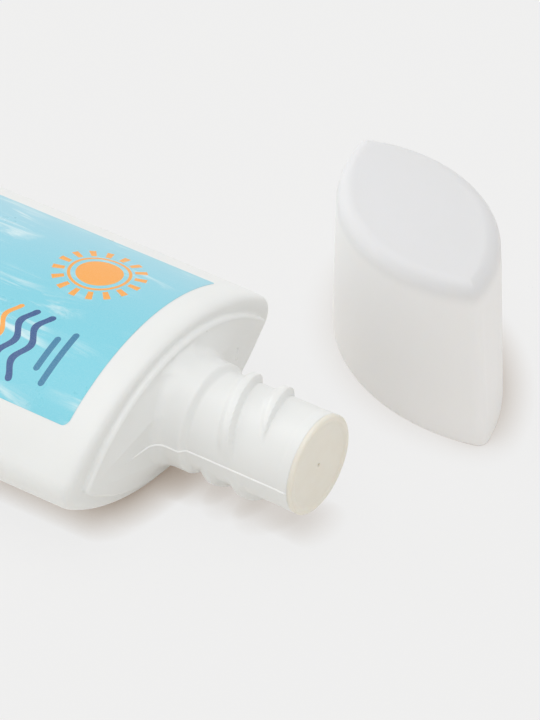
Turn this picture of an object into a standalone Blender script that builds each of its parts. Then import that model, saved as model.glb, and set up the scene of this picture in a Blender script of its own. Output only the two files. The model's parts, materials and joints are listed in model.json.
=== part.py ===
# Sunscreen bottle lying on its back, with its screw cap taken off and standing beside it.
# The bottle is drawn upright, base down, then laid down so that its neck points along +X.
import math

import bmesh
import bpy

# Lengths are in metres.

# Body of the bottle: a flat section of two wide arcs that meet in rounded side edges
body_width = 0.0716
body_depth = 0.0328
body_edge_radius = 0.0048
body_height = 0.1200
body_wall = 0.0010
belly_growth_share = 0.012

# Base of the bottle
base_corner_radius = 0.0034
stand_ring_width = 0.0030
push_up_slope_width = 0.0020
push_up_height = 0.0012

# Shoulder: the faces roll over onto a flat ledge that seats the cap
shoulder_roll_height = 0.0038
shoulder_fullness_share = 0.72
ledge_overrun = 0.0001

# Raised lens-shaped step inside the ledge
step_width = 0.0624
step_depth = 0.0280
step_edge_radius = 0.0009
step_height = 0.0024
step_rim_radius = 0.0008
inner_edge_radius = 0.0003

# Neck, with a collar round its foot that slopes in toward the thread
neck_radius = 0.0105
neck_wall = 0.0013
neck_length = 0.0325
neck_fillet_reach = 0.0056
neck_fillet_height = 0.0056
fillet_reach_limit_share = 0.92
collar_proud = 0.0012
collar_straight_height = 0.0015
collar_slope_height = 0.0027
mouth_bead_height = 0.0009
mouth_bead_proud = 0.0001
mouth_bead_round = 0.0002

# Two-start right-hand thread, steeper toward the mouth than toward the body
thread_lead = 0.0150
thread_starts = 2
thread_height = 0.00145
thread_mouth_flank = 0.0013
thread_body_flank = 0.0030
thread_crest_share = 0.25
thread_first_crest = 0.0086
thread_start_share = 0.125
thread_turns = 0.84
thread_run_in_turns = 0.17
thread_run_out_turns = 0.08
thread_rows_per_lead = 28

# The ridges die away at the two lines where the mould's halves met
parting_gap_degrees = 6
parting_fade_degrees = 40

# Orifice insert
insert_flange_thickness = 0.0010
insert_flange_round = 0.0002
insert_rim_width = 0.0015
insert_recess_depth = 0.0005
insert_floor_thickness = 0.0009
insert_skirt_wall = 0.0009
insert_skirt_length = 0.0080
insert_skirt_lead_in = 0.0005
insert_skirt_clearance = 0.0002
orifice_radius = 0.0006
nozzle_wall = 0.0009
nozzle_length = 0.0030
insert_seat_gap = 0.0002

# Cap: a flat shell of the bottle's section with a threaded sleeve inside it
cap_wall = 0.0011
cap_step_clearance = 0.0003
cap_tip_draft = 0.0048
cap_face_draft = 0.0002
cap_tip_round = 0.0012
cap_face_round = 0.0034
cap_top_crown = 0.0003
cap_crown_radius = 0.0050
cap_top_wall = 0.0010
sleeve_wall = 0.0009
sleeve_thread_clearance = 0.0002
sleeve_bottom_clearance = 0.0005
cap_thread_height = 0.0011
cap_thread_half_width = 0.0014
cap_thread_turns = 0.62
cap_thread_run_turns = 0.10
cap_thread_rows_per_lead = 16

# Sealing disc inside the cap
liner_thickness = 0.0006
liner_seat_gap = 0.0002
liner_side_clearance = 0.0003

# Printed film on the front face
label_half_width = 0.0266
label_top_setback = 0.0064
label_bottom_setback = 0.0110
label_thickness = 0.0002
label_seat_gap = 0.0002
label_corner_radius = 0.0007

# Where the cap stands, measured from the centre of the insert's face
cap_back_from_mouth = 0.0125
cap_aside_from_axis = 0.0560
cap_turn_degrees = -33.6

# Divisions, and the angle above which an edge is shaded as a crease
face_segments = 15
edge_segments = 9
quarter_steps = 4
label_columns = 18
label_rows = 5
crease_degrees = 35

quarter = math.pi / 2
full_turn = 2 * math.pi
quarter_sweep = [quarter * step / quarter_steps for step in range(quarter_steps + 1)]


def face_arc(width, depth, edge_radius):
    # Radius of a wide face, and how far the arc's centre lies beyond the middle plane
    centre = width / 2 - edge_radius
    half_depth = depth / 2
    square_sum = half_depth ** 2 + centre ** 2 - edge_radius ** 2
    arc_radius = square_sum / (2 * (half_depth - edge_radius))
    return arc_radius, arc_radius - half_depth


def lens_half(width, depth, edge_radius):
    # Upper half of an outline of two arcs joined by round side edges, from the +X edge to the -X
    centre = width / 2 - edge_radius
    arc_radius, drop = face_arc(width, depth, edge_radius)
    joint = math.atan2(drop, centre)
    edge = []
    for index in range(math.ceil(edge_segments / 2), edge_segments):
        angle = joint * (2 * (index + 0.5) / edge_segments - 1)
        edge.append((centre + edge_radius * math.cos(angle), edge_radius * math.sin(angle)))
    face = []
    for index in range(face_segments + 1):
        angle = joint + (math.pi - 2 * joint) * index / face_segments
        face.append((arc_radius * math.cos(angle), arc_radius * math.sin(angle) - drop))
    return edge + face + [(-x, y) for x, y in reversed(edge)]


def lens_ring(width, depth, edge_radius, height):
    # The whole outline, counter-clockwise, as points at one height
    upper = lens_half(width, depth, edge_radius)
    lower = [(-x, -y) for x, y in upper]
    return [(x, y, height) for x, y in upper + lower]


def inset_lens_ring(width, depth, edge_radius, inset, height):
    # The outline drawn in by an even distance all round
    radius = max(edge_radius - inset, inner_edge_radius)
    return lens_ring(width - 2 * inset, depth - 2 * inset, radius, height)


# Round rings take as many points as the lens outline, at even angles
ring_count = len(lens_ring(body_width, body_depth, body_edge_radius, 0))
ring_angles = [full_turn * (index + 0.5) / ring_count for index in range(ring_count)]


def circle_ring(radius, height):
    return [(radius * math.cos(angle), radius * math.sin(angle), height) for angle in ring_angles]


def blend_ring(start, end, share, height):
    ring = []
    for near, far in zip(start, end):
        x = near[0] + (far[0] - near[0]) * share
        y = near[1] + (far[1] - near[1]) * share
        ring.append((x, y, height))
    return ring


def smooth_step(share):
    # From zero to one with a level start and end
    held = min(1, max(0, share))
    return held * held * (3 - 2 * held)


def bump(distance, mouth_flank, body_flank):
    # Rounded cross-section of a thread ridge: one on the crest, zero at its foot
    share = abs(distance) / (mouth_flank if distance < 0 else body_flank)
    return 1 - smooth_step((share - thread_crest_share) / (1 - thread_crest_share))


def ridge_height(angle, below_top, ridge):
    # Height, as a share, of the helical ridges at one place on a neck or in a sleeve.
    # Turns are counted clockwise, seen from the mouth, from a little before the front face.
    height = 0
    turns = ridge["turns"]
    around = (quarter - angle) / full_turn + thread_start_share
    for start in range(thread_starts):
        offset = start / thread_starts
        first = math.floor(-around)
        for wrap in range(first - 1, first + math.ceil(turns) + 3):
            turn = around + wrap - offset
            if turn < 0 or turn > turns:
                continue
            crest = ridge["first_crest"] + thread_lead * turn
            fade_in = min(1, turn / ridge["run_in"])
            fade_out = min(1, (turns - turn) / ridge["run_out"])
            fade = math.sin(quarter * fade_in) * math.sin(quarter * fade_out)
            rise = bump(below_top - crest, ridge["mouth_flank"], ridge["body_flank"])
            height = max(height, fade * rise)
    return height


def shaped_ring(height, reach):
    # A ring about the upright axis, given its reach at each angle and height
    ring = []
    for angle in ring_angles:
        out = reach(angle, height)
        ring.append((out * math.cos(angle), out * math.sin(angle), height))
    return ring


def material(name, colour, roughness, transmission=0):
    made = bpy.data.materials.new(name)
    made.use_nodes = True
    shader = made.node_tree.nodes["Principled BSDF"]
    shader.inputs["Base Color"].default_value = (*colour, 1)
    shader.inputs["Roughness"].default_value = roughness
    shader.inputs["Metallic"].default_value = 0
    shader.inputs["Transmission Weight"].default_value = transmission
    made.diffuse_color = (*colour, 1)
    return made


def object_from_bmesh(name, mesh_edit, finish):
    bmesh.ops.recalc_face_normals(mesh_edit, faces=mesh_edit.faces)
    mesh = bpy.data.meshes.new(name)
    mesh_edit.to_mesh(mesh)
    mesh_edit.free()
    mesh.shade_smooth()
    mesh.set_sharp_from_angle(angle=math.radians(crease_degrees))
    made = bpy.data.objects.new(name, mesh)
    made.data.materials.append(finish)
    bpy.context.scene.collection.objects.link(made)
    return made


def loft(rings, start_point=None, end_point=None):
    # Skin over rings of equal count, closed at each end by a fan or, with no end points, on itself
    edit = bmesh.new()
    rows = [[edit.verts.new(point) for point in ring] for ring in rings]
    pairs = list(zip(rows, rows[1:]))
    if start_point is None:
        pairs.append((rows[-1], rows[0]))
    for lower, upper in pairs:
        count = len(lower)
        for index in range(count):
            after = (index + 1) % count
            edit.faces.new((lower[index], lower[after], upper[after]))
            edit.faces.new((lower[index], upper[after], upper[index]))
    if start_point is not None:
        for row, point in ((rows[0], start_point), (rows[-1], end_point)):
            centre = edit.verts.new(point)
            for index in range(len(row)):
                edit.faces.new((row[index], row[(index + 1) % len(row)], centre))
    return edit


def turned(profile):
    # A closed outline of radius and height, spun about the upright axis
    rings = [circle_ring(radius, height) for radius, height in profile]
    return loft(rings)


# Heights that several pieces share
shoulder_start = body_height - shoulder_roll_height
step_top = body_height + step_height
neck_foot = step_top + neck_fillet_height
collar_top = neck_foot + collar_straight_height + collar_slope_height
neck_top = step_top + neck_length
flange_bottom = neck_top + insert_seat_gap
insert_top = flange_bottom + insert_flange_thickness
bore_radius = neck_radius - neck_wall
mouth_radius = neck_radius + mouth_bead_proud

# The cap's walls stand off the step by a clearance, and the ledge carries their full width
cap_inner_grow = cap_step_clearance
cap_outer_grow = cap_inner_grow + cap_wall
ledge_grow = cap_outer_grow + ledge_overrun


def grown_step_ring(grow, height, tip_draft=0, face_draft=0):
    # The step's outline grown evenly by a distance, then drawn in along and across
    return lens_ring(step_width + 2 * grow - 2 * tip_draft, step_depth + 2 * grow - 2 * face_draft,
                     step_edge_radius + grow, height)


def body_ring(height, inset):
    # The body's outline at a height, a little wider half way up
    span = (height - base_corner_radius) / (shoulder_start - base_corner_radius)
    belly = math.sin(math.pi * min(1, max(0, span)))
    width = body_width * (1 + belly_growth_share * belly)
    return inset_lens_ring(width, body_depth, body_edge_radius, inset, height)


def fillet_rings(rim, radius, low, height, count):
    # Concave sweep from the top of the step up into the neck, shorter where there is less room
    circle = circle_ring(radius, 0)
    reaches = []
    for edge, near in zip(rim, circle):
        room = math.hypot(edge[0] - near[0], edge[1] - near[1])
        reaches.append(min(neck_fillet_reach, fillet_reach_limit_share * room))
    rings = []
    for step in range(count + 1):
        sweep = quarter * step / count
        ring = []
        for index, (edge, near) in enumerate(zip(rim, circle)):
            room = math.hypot(edge[0] - near[0], edge[1] - near[1])
            out = reaches[index] * (1 - math.sin(sweep)) / room
            x = near[0] + (edge[0] - near[0]) * out
            y = near[1] + (edge[1] - near[1]) * out
            ring.append((x, y, low + height * (1 - math.cos(sweep))))
        rings.append(ring)
    return rings


def at_height(ring, height):
    return [(x, y, height) for x, y, z in ring]


def base_rings(wall):
    # From the raised middle of the base over its standing ring to the corner, or inside by a wall
    stand_inset = base_corner_radius + stand_ring_width
    rings = [at_height(body_ring(0, stand_inset + push_up_slope_width), push_up_height + wall),
             at_height(body_ring(0, stand_inset), wall)]
    radius = base_corner_radius - wall
    for turn in quarter_sweep:
        ring = body_ring(0, wall + radius * (1 - math.sin(turn)))
        rings.append(at_height(ring, wall + radius * (1 - math.cos(turn))))
    return rings


def side_rings(wall):
    span = shoulder_start - base_corner_radius
    rings = []
    for step in range(1, quarter_steps + 1):
        height = base_corner_radius + span * step / (quarter_steps + 1)
        rings.append(body_ring(height, wall))
    return rings


def shoulder_rings(wall):
    # The roll from the sides onto the ledge, fuller than a quarter round
    ledge = grown_step_ring(ledge_grow - wall, 0)
    side = body_ring(shoulder_start, wall)
    rings = []
    for turn in quarter_sweep:
        across = 0 if turn == quarter else math.cos(turn) ** shoulder_fullness_share
        up = math.sin(turn) ** shoulder_fullness_share
        height = shoulder_start - wall + shoulder_roll_height * up
        rings.append(blend_ring(ledge, side, across, height))
    return rings


def step_rings():
    # The step's upright side and its rounded rim
    rings = [grown_step_ring(0, body_height)]
    for step in range(quarter_steps):
        turn = quarter * step / (quarter_steps - 1)
        inset = step_rim_radius * (1 - math.cos(turn))
        height = step_top - step_rim_radius * (1 - math.sin(turn))
        rings.append(inset_lens_ring(step_width, step_depth, step_edge_radius, inset, height))
    return rings


neck_ridge = {
    "first_crest": thread_first_crest,
    "turns": thread_turns,
    "run_in": thread_run_in_turns,
    "run_out": thread_run_out_turns,
    "mouth_flank": thread_mouth_flank,
    "body_flank": thread_body_flank,
}


def neck_reach(angle, height):
    # The neck's outside: the collar at its foot, and ridges that fade at the parting lines
    off_line = abs((angle + quarter) % math.pi - quarter)
    past_gap = off_line - math.radians(parting_gap_degrees)
    fade = smooth_step(past_gap / math.radians(parting_fade_degrees))
    ridge = fade * ridge_height(angle, insert_top - height, neck_ridge)
    collar = smooth_step((collar_top - height) / collar_slope_height)
    return neck_radius + max(thread_height * ridge, collar_proud * collar)


def neck_rings():
    # The threaded neck and the bead round its mouth
    bead_bottom = neck_top - mouth_bead_height
    span = bead_bottom - mouth_bead_round - neck_foot
    row_count = math.ceil(span * thread_rows_per_lead / thread_lead)
    rings = []
    for row in range(1, row_count + 1):
        rings.append(shaped_ring(neck_foot + span * row / row_count, neck_reach))
    rings.append(circle_ring(mouth_radius, bead_bottom))
    rings.append(circle_ring(mouth_radius, neck_top - mouth_bead_round))
    rings.append(circle_ring(mouth_radius - mouth_bead_round, neck_top))
    return rings


def neck_inside_rings():
    # The bore, its sweep out under the step, and the step's inner side
    rim = inset_lens_ring(step_width, step_depth, step_edge_radius, body_wall, 0)
    sweep = fillet_rings(rim, bore_radius, step_top - body_wall, neck_fillet_height, quarter_steps)
    rings = [circle_ring(bore_radius, neck_top)]
    rings += reversed(sweep)
    rings.append(at_height(rim, step_top - body_wall))
    rings.append(at_height(rim, body_height - body_wall))
    return rings


def make_bottle(finish):
    step = step_rings()
    rings = base_rings(0) + side_rings(0) + shoulder_rings(0) + step
    collar_radius = neck_radius + collar_proud
    rings += fillet_rings(step[-1], collar_radius, step_top, neck_fillet_height, quarter_steps + 1)
    rings += neck_rings() + neck_inside_rings()
    rings += reversed(base_rings(body_wall) + side_rings(body_wall) + shoulder_rings(body_wall))
    inside = (0, 0, push_up_height + body_wall)
    edit = loft(rings, (0, 0, push_up_height), inside)
    return object_from_bmesh("bottle_body", edit, finish)


def make_insert(finish):
    skirt_outer = bore_radius - insert_skirt_clearance
    skirt_inner = skirt_outer - insert_skirt_wall
    recess_radius = mouth_radius - insert_rim_width
    floor_top = insert_top - insert_recess_depth
    floor_bottom = floor_top - insert_floor_thickness
    skirt_bottom = insert_top - insert_skirt_length
    nozzle_outer = orifice_radius + nozzle_wall
    profile = [
        (skirt_outer, flange_bottom),
        (mouth_radius, flange_bottom),
        (mouth_radius, insert_top - insert_flange_round),
        (mouth_radius - insert_flange_round, insert_top),
        (recess_radius, insert_top),
        (recess_radius - insert_flange_round, floor_top),
        (orifice_radius, floor_top),
        (orifice_radius, floor_bottom - nozzle_length),
        (nozzle_outer, floor_bottom - nozzle_length),
        (nozzle_outer, floor_bottom),
        (skirt_inner, floor_bottom),
        (skirt_inner, skirt_bottom),
        (skirt_outer - insert_skirt_lead_in, skirt_bottom),
        (skirt_outer, skirt_bottom + insert_skirt_lead_in),
    ]
    return object_from_bmesh("orifice_insert", turned(profile), finish)


# The cap is drawn standing on its open end, and its sleeve clears the neck when it is screwed on
cap_height = (insert_top + liner_thickness + liner_seat_gap + cap_top_wall
              + insert_seat_gap - body_height)
ceiling = cap_height - cap_top_wall
sleeve_inner = neck_radius + thread_height + sleeve_thread_clearance
sleeve_outer = sleeve_inner + sleeve_wall
sleeve_bottom = collar_top - body_height + sleeve_bottom_clearance
liner_bottom = ceiling - liner_seat_gap - liner_thickness
cap_thread_top = sleeve_bottom + thread_lead * cap_thread_turns + 2 * cap_thread_half_width
cap_ridge = {
    "first_crest": cap_thread_half_width,
    "turns": cap_thread_turns,
    "run_in": cap_thread_run_turns,
    "run_out": cap_thread_run_turns,
    "mouth_flank": cap_thread_half_width,
    "body_flank": cap_thread_half_width,
}


def sleeve_reach(angle, height):
    return sleeve_inner - cap_thread_height * ridge_height(angle, cap_thread_top - height, cap_ridge)


def cap_outline(grow, height):
    # The cap's section narrows evenly from its open end to its top
    share = height / cap_height
    return grown_step_ring(grow, height, cap_tip_draft * share, cap_face_draft * share)


def cap_edge_ring(turn):
    # One line of the rounded top edge, which is soft along the faces and tight at the side edges
    outer = cap_outline(cap_outer_grow, cap_height)
    inner = cap_outline(cap_outer_grow - cap_tip_round, cap_height)
    ring = []
    for near, far in zip(outer, inner):
        reach = math.hypot(near[0] - far[0], near[1] - far[1])
        facing = abs(near[1]) / max(point[1] for point in outer)
        radius = cap_tip_round + (cap_face_round - cap_tip_round) * facing
        inset = radius * (1 - math.sin(turn)) / reach
        x = near[0] + (far[0] - near[0]) * inset
        y = near[1] + (far[1] - near[1]) * inset
        ring.append((x, y, cap_height - radius * (1 - math.cos(turn))))
    return ring


def cap_rings():
    rings = []
    # Crowned top and its rounded edge
    crown = circle_ring(cap_crown_radius, cap_height + cap_top_crown)
    rings.append(crown)
    for turn in quarter_sweep:
        rings.append(cap_edge_ring(turn))
    # Outside down to the open edge, then the inside up to the ceiling
    rings.append(cap_outline(cap_outer_grow, cap_height / 2))
    rings.append(cap_outline(cap_outer_grow, 0))
    rings.append(cap_outline(cap_inner_grow, 0))
    rings.append(cap_outline(cap_inner_grow, cap_height / 2))
    rings.append(cap_outline(cap_inner_grow, ceiling))
    # Outside of the sleeve, its lower edge, and the threaded inside
    rings.append(circle_ring(sleeve_outer, ceiling))
    rings.append(circle_ring(sleeve_outer, sleeve_bottom))
    rings.append(circle_ring(sleeve_inner, sleeve_bottom))
    span = cap_thread_top - sleeve_bottom
    row_count = math.ceil(cap_thread_rows_per_lead * span / thread_lead)
    for row in range(1, row_count + 1):
        rings.append(shaped_ring(sleeve_bottom + span * row / row_count, sleeve_reach))
    rings.append(circle_ring(sleeve_inner, liner_bottom))
    rings.append(circle_ring(sleeve_inner, ceiling))
    return rings


def make_cap(finish):
    top = (0, 0, cap_height + cap_top_crown)
    edit = loft(cap_rings(), top, (0, 0, ceiling))
    return object_from_bmesh("cap", edit, finish)


def make_liner(finish):
    radius = sleeve_inner - liner_side_clearance
    top = liner_bottom + liner_thickness
    rings = [circle_ring(radius, liner_bottom), circle_ring(radius, top)]
    edit = loft(rings, (0, 0, liner_bottom), (0, 0, top))
    return object_from_bmesh("cap_liner", edit, finish)


def face_depth(x):
    # Distance of the front face from the middle plane of the body
    arc_radius, drop = face_arc(body_width, body_depth, body_edge_radius)
    return math.sqrt(arc_radius ** 2 - x ** 2) - drop


def make_label(finish):
    low = label_bottom_setback
    high = body_height - label_top_setback
    corner = label_corner_radius
    # Heights, and how far the round corners draw the edges in there
    bend = [(corner * (1 - math.cos(turn)), corner * (1 - math.sin(turn))) for turn in quarter_sweep]
    rows = [(low + rise, inset) for rise, inset in bend]
    for step in range(1, label_rows):
        rows.append((low + corner + (high - low - 2 * corner) * step / label_rows, 0))
    rows += [(high - rise, inset) for rise, inset in reversed(bend)]
    edit = bmesh.new()
    layers = []
    for lift in (label_seat_gap, label_seat_gap + label_thickness):
        grid = []
        for height, inset in rows:
            line = []
            for column in range(label_columns + 1):
                x = (label_half_width - inset) * (2 * column / label_columns - 1)
                line.append(edit.verts.new((x, face_depth(x) + lift, height)))
            grid.append(line)
        layers.append(grid)
    for grid in layers:
        for line, above in zip(grid, grid[1:]):
            for column in range(label_columns):
                corners = (line[column], line[column + 1], above[column + 1], above[column])
                edit.faces.new(corners)
    under, over = layers
    border = [(row, 0) for row in range(len(rows))]
    border += [(len(rows) - 1, column) for column in range(1, label_columns + 1)]
    border += [(row, label_columns) for row in reversed(range(len(rows) - 1))]
    border += [(0, column) for column in reversed(range(1, label_columns))]
    for index, (row, column) in enumerate(border):
        after_row, after_column = border[(index + 1) % len(border)]
        edit.faces.new((under[row][column], under[after_row][after_column],
                        over[after_row][after_column], over[row][column]))
    return object_from_bmesh("front_label", edit, finish)


def empty(name, location, rotation):
    made = bpy.data.objects.new(name, None)
    made.location = location
    made.rotation_euler = rotation
    bpy.context.scene.collection.objects.link(made)
    return made


def main():
    for old in list(bpy.data.objects):
        bpy.data.objects.remove(old, do_unlink=True)

    white = material("white_bottle_plastic", (0.93, 0.93, 0.92), 0.35)
    frosted = material("frosted_cap_plastic", (0.80, 0.80, 0.80), 0.45, 0.15)
    natural = material("natural_insert_plastic", (0.86, 0.86, 0.80), 0.40, 0.2)
    foam = material("liner_foam", (0.94, 0.94, 0.93), 0.8)
    film = material("label_film", (0.50, 0.80, 0.89), 0.3)

    # The bottle lies on the flat along the middle of its back
    lying_height = max(y for x, y, z in body_ring(body_height / 2, 0))
    bottle_pose = empty("bottle_pose", (0, 0, lying_height), (quarter, 0, quarter))
    cap_place = (insert_top - cap_back_from_mouth, cap_aside_from_axis, 0)
    cap_pose = empty("cap_pose", cap_place, (0, 0, math.radians(cap_turn_degrees)))

    pieces = [make_bottle(white), make_insert(natural), make_label(film)]
    for piece in pieces:
        piece.parent = bottle_pose
    cap_pieces = [make_cap(frosted), make_liner(foam)]
    for piece in cap_pieces:
        piece.parent = cap_pose

    # The frame's origin is under the middle of the box around everything
    bpy.context.view_layer.update()
    corners = []
    for piece in pieces + cap_pieces:
        corners += [piece.matrix_world @ vertex.co for vertex in piece.data.vertices]
    low = [min(corner[axis] for corner in corners) for axis in range(3)]
    high = [max(corner[axis] for corner in corners) for axis in range(3)]
    for pose in (bottle_pose, cap_pose):
        pose.location.x -= (low[0] + high[0]) / 2
        pose.location.y -= (low[1] + high[1]) / 2
    bpy.context.view_layer.update()
    for piece in pieces + cap_pieces:
        print(piece.name, len(piece.data.polygons), "faces")
    print("bottle pose", [round(value, 6) for value in bottle_pose.location])
    print("cap pose", [round(value, 6) for value in cap_pose.location])


main()
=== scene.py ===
import json
import math

import bmesh
import bpy
from mathutils import Matrix, Vector


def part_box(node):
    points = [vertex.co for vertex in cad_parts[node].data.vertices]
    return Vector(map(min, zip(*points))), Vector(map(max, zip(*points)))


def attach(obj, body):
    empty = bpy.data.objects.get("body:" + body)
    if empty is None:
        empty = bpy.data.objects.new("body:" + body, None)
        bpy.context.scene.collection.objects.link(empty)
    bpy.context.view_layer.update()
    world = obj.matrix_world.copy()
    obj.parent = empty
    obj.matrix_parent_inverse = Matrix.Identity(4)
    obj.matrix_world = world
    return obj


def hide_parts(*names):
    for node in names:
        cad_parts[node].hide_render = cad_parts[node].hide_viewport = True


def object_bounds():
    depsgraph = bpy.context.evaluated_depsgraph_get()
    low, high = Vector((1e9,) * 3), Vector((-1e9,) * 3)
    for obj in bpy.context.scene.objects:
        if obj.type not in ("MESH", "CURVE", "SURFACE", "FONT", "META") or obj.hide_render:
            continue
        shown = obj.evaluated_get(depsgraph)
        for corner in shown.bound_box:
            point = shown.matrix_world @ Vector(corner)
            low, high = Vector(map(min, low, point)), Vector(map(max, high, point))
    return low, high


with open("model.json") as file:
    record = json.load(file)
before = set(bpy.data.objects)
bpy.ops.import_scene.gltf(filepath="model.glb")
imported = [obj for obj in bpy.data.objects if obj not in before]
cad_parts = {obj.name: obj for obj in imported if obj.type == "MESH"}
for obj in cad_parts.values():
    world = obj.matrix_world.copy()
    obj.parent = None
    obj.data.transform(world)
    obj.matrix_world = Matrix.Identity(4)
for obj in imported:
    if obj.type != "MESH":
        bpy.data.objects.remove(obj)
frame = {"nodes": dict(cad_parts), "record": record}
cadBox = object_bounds()
print("frame loaded:", ", ".join(sorted(frame["nodes"])))

quarterTurn = math.pi / 2
fullTurn = 2 * math.pi

# Places read from the frame, in metres
bodyLow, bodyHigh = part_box("bottle_body")
insertLow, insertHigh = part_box("orifice_insert")
linerLow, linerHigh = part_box("cap_liner")
capLow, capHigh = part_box("cap")
insertMiddle = (insertLow + insertHigh) / 2
linerMiddle = (linerLow + linerHigh) / 2
capTurn = -33.6  # degrees about the upright axis

# Bottle pieces are drawn upright: x across, y out of the front face, z from base to mouth
layDown = Matrix(((0, 0, 1), (1, 0, 0), (0, 1, 0))).to_4x4()
bottlePlace = Matrix.Translation((bodyLow.x, insertMiddle.y, insertMiddle.z)) @ layDown
capTurned = Matrix.Rotation(math.radians(capTurn), 4, "Z")
capPlace = Matrix.Translation((linerMiddle.x, linerMiddle.y, capLow.z)) @ capTurned

ringColumns = 216
ringAngles = [fullTurn * (column + 0.5) / ringColumns for column in range(ringColumns)]
edgeSpan = math.radians(33.75)  # the stretch of a ring given to each side edge of the lens outline


def smoothStep(share):
    held = min(1, max(0, share))
    return held * held * (3 - 2 * held)


def sweep(steps, first=0):
    return [quarterTurn * step / steps for step in range(first, steps + 1)]


def lensArc(width, depth, edgeRadius):
    # How far out the side edge's round is centred, and the radius of the wide arcs
    centre = width / 2 - edgeRadius
    squareSum = (depth / 2) ** 2 + centre ** 2 - edgeRadius ** 2
    return centre, squareSum / (depth - 2 * edgeRadius)


def lensPoint(angle, width, depth, edgeRadius):
    # Two wide arcs joined by round side edges
    centre, arcRadius = lensArc(width, depth, edgeRadius)
    drop = arcRadius - depth / 2
    joint = math.atan2(drop, centre)
    side = 1 if angle < math.pi else -1
    around = angle % math.pi
    if around < edgeSpan:
        bend = joint * around / edgeSpan
        x, y = centre + edgeRadius * math.cos(bend), edgeRadius * math.sin(bend)
    elif around > math.pi - edgeSpan:
        bend = joint * (math.pi - around) / edgeSpan
        x, y = -centre - edgeRadius * math.cos(bend), edgeRadius * math.sin(bend)
    else:
        share = (around - edgeSpan) / (math.pi - 2 * edgeSpan)
        bend = joint + (math.pi - 2 * joint) * share
        x, y = arcRadius * math.cos(bend), arcRadius * math.sin(bend) - drop
    return side * x, side * y


def lensRing(angles, width, depth, edgeRadius, height):
    return [(*lensPoint(angle, width, depth, edgeRadius), height) for angle in angles]


def circleRing(angles, radius, height):
    return [(radius * math.cos(angle), radius * math.sin(angle), height) for angle in angles]


def atHeight(ring, height):
    return [(x, y, height) for x, y, z in ring]


def blendRing(near, far, share, height):
    ring = []
    for a, b in zip(near, far):
        ring.append((a[0] + (b[0] - a[0]) * share, a[1] + (b[1] - a[1]) * share, height))
    return ring


def loft(rings, startPoint, endPoint):
    # Skin of quads over the rings, with a fan of triangles at each end
    edit = bmesh.new()
    rows = [[edit.verts.new(point) for point in ring] for ring in rings]
    for lower, upper in zip(rows, rows[1:]):
        for index in range(len(lower)):
            after = (index + 1) % len(lower)
            edit.faces.new((lower[index], lower[after], upper[after], upper[index]))
    for row, point in ((rows[0], startPoint), (rows[-1], endPoint)):
        middle = edit.verts.new(point)
        for index in range(len(row)):
            edit.faces.new((row[index], row[(index + 1) % len(row)], middle))
    return edit


def turned(profile):
    # A closed outline of radius and height, spun about the upright axis
    edit = bmesh.new()
    rows = []
    for radius, height in profile:
        rows.append([edit.verts.new(point) for point in circleRing(ringAngles, radius, height)])
    for lower, upper in zip(rows, rows[1:] + rows[:1]):
        for index in range(ringColumns):
            after = (index + 1) % ringColumns
            edit.faces.new((lower[index], lower[after], upper[after], upper[index]))
    return edit


creaseAngle = 38  # degrees; an edge bent further than this shows as a crease


def finishPiece(name, edit, place, node, material):
    # The mesh is put in its place in the frame, so the object itself stays at the origin
    bmesh.ops.transform(edit, matrix=place, verts=edit.verts)
    bmesh.ops.recalc_face_normals(edit, faces=edit.faces)
    mesh = bpy.data.meshes.new(name)
    edit.to_mesh(mesh)
    edit.free()
    mesh.shade_smooth()
    mesh.set_sharp_from_angle(angle=math.radians(creaseAngle))
    piece = bpy.data.objects.new(name, mesh)
    bpy.context.scene.collection.objects.link(piece)
    mesh.materials.append(material)
    bodies = frame["record"]["behaviour"]["bodies"]
    body = next(body for body, nodes in bodies.items() if node in nodes)
    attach(piece, body)
    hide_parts(node)
    print("piece made:", name, len(mesh.polygons), "faces")


# Helical ridges, shared by the neck and the cap's sleeve
threadRule = {
    "lead": 0.0150,
    "starts": 2,
    "startShare": 0.125,  # of a turn before the front face
    "crestShare": 0.25,   # of a flank's width that stays at full height
    "tipWidth": 0.15,     # share of a ridge's width left at its tip
}


def ridgeBump(distance, ridge):
    share = abs(distance) / (ridge["mouthFlank"] if distance < 0 else ridge["bodyFlank"])
    return 1 - smoothStep((share - threadRule["crestShare"]) / (1 - threadRule["crestShare"]))


def ridgeHeight(angle, belowTop, ridge):
    # Share of the full ridge at one place, with the ends of each start fading in and out
    height = 0
    around = (quarterTurn - angle) / fullTurn + threadRule["startShare"]
    for start in range(threadRule["starts"]):
        first = math.floor(-around)
        for wrap in range(first - 1, first + math.ceil(ridge["turns"]) + 3):
            turn = around + wrap - start / threadRule["starts"]
            if turn < 0 or turn > ridge["turns"]:
                continue
            crest = ridge["firstCrest"] + threadRule["lead"] * turn
            fadeIn = math.sin(quarterTurn * min(1, turn / ridge["runIn"]))
            fadeOut = math.sin(quarterTurn * min(1, (ridge["turns"] - turn) / ridge["runOut"]))
            fade = fadeIn * fadeOut
            if fade > 0:
                # A ridge also narrows to a point where it fades
                narrow = threadRule["tipWidth"] + (1 - threadRule["tipWidth"]) * fade
                height = max(height, fade * ridgeBump((belowTop - crest) / narrow, ridge))
    return height


def shapedRing(angles, height, reach):
    # A ring whose reach from the axis is given at each angle
    ring = []
    for angle in angles:
        out = reach(angle, height)
        ring.append((out * math.cos(angle), out * math.sin(angle), height))
    return ring


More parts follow.
